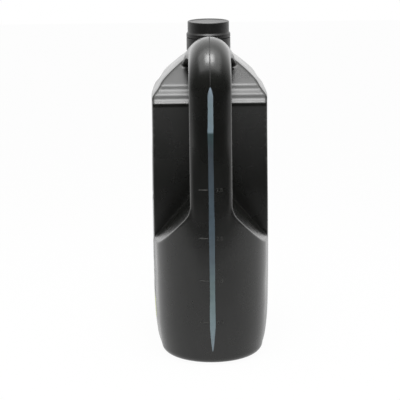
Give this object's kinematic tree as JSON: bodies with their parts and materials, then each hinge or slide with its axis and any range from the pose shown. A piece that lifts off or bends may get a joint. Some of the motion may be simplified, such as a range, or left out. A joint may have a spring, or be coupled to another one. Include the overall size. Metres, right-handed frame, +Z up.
{
  "type": "transmission fluid jug",
  "caption": "Tall oblong blow-moulded jug with an arched hollow handle at one end, a see-through level stripe and a screw cap over a sealed neck.",
  "frame": {"origin": "middle of the base, on the surface the jug stands on", "axes": "+Z up, handle towards -Y, neck towards +Y, broad faces look along -X and +X"},
  "size_m": [0.1218, 0.2192, 0.3255],
  "materials": {
    "jug_plastic": "blow-moulded black polyethylene with a soft sheen",
    "clear_plastic": "milky see-through polyethylene",
    "fluid": "clear red oil",
    "cap_plastic": "moulded black polypropylene",
    "liner_foam": "white foamed backing disc",
    "foil": "thin bright foil",
    "label_film": "satin printed film"
  },
  "bodies": {
    "jug": {"jug_body": "jug_plastic", "view_stripe": "clear_plastic", "fluid": "fluid", "foil_seal": "foil", "tamper_ring": "cap_plastic", "side_label": "label_film"},
    "cap_carrier": {"cap_liner": "liner_foam"},
    "cap": {"screw_cap": "cap_plastic"}
  },
  "joints": [
    {"name": "cap_lift", "type": "slide", "parent": "jug", "child": "cap_carrier", "axis": [0, 0, 1], "range_m": [0, 0.0151]},
    {"name": "cap_turn", "type": "hinge", "parent": "cap_carrier", "child": "cap", "pos_m": [0, 0.0407, 0.32], "axis": [0, 0, 1], "range_deg": [0, 1290]}
  ],
  "couplings": [
    {"joint": "cap_lift", "follows": "cap_turn", "m_per_rad": 0.00066845}
  ]
}
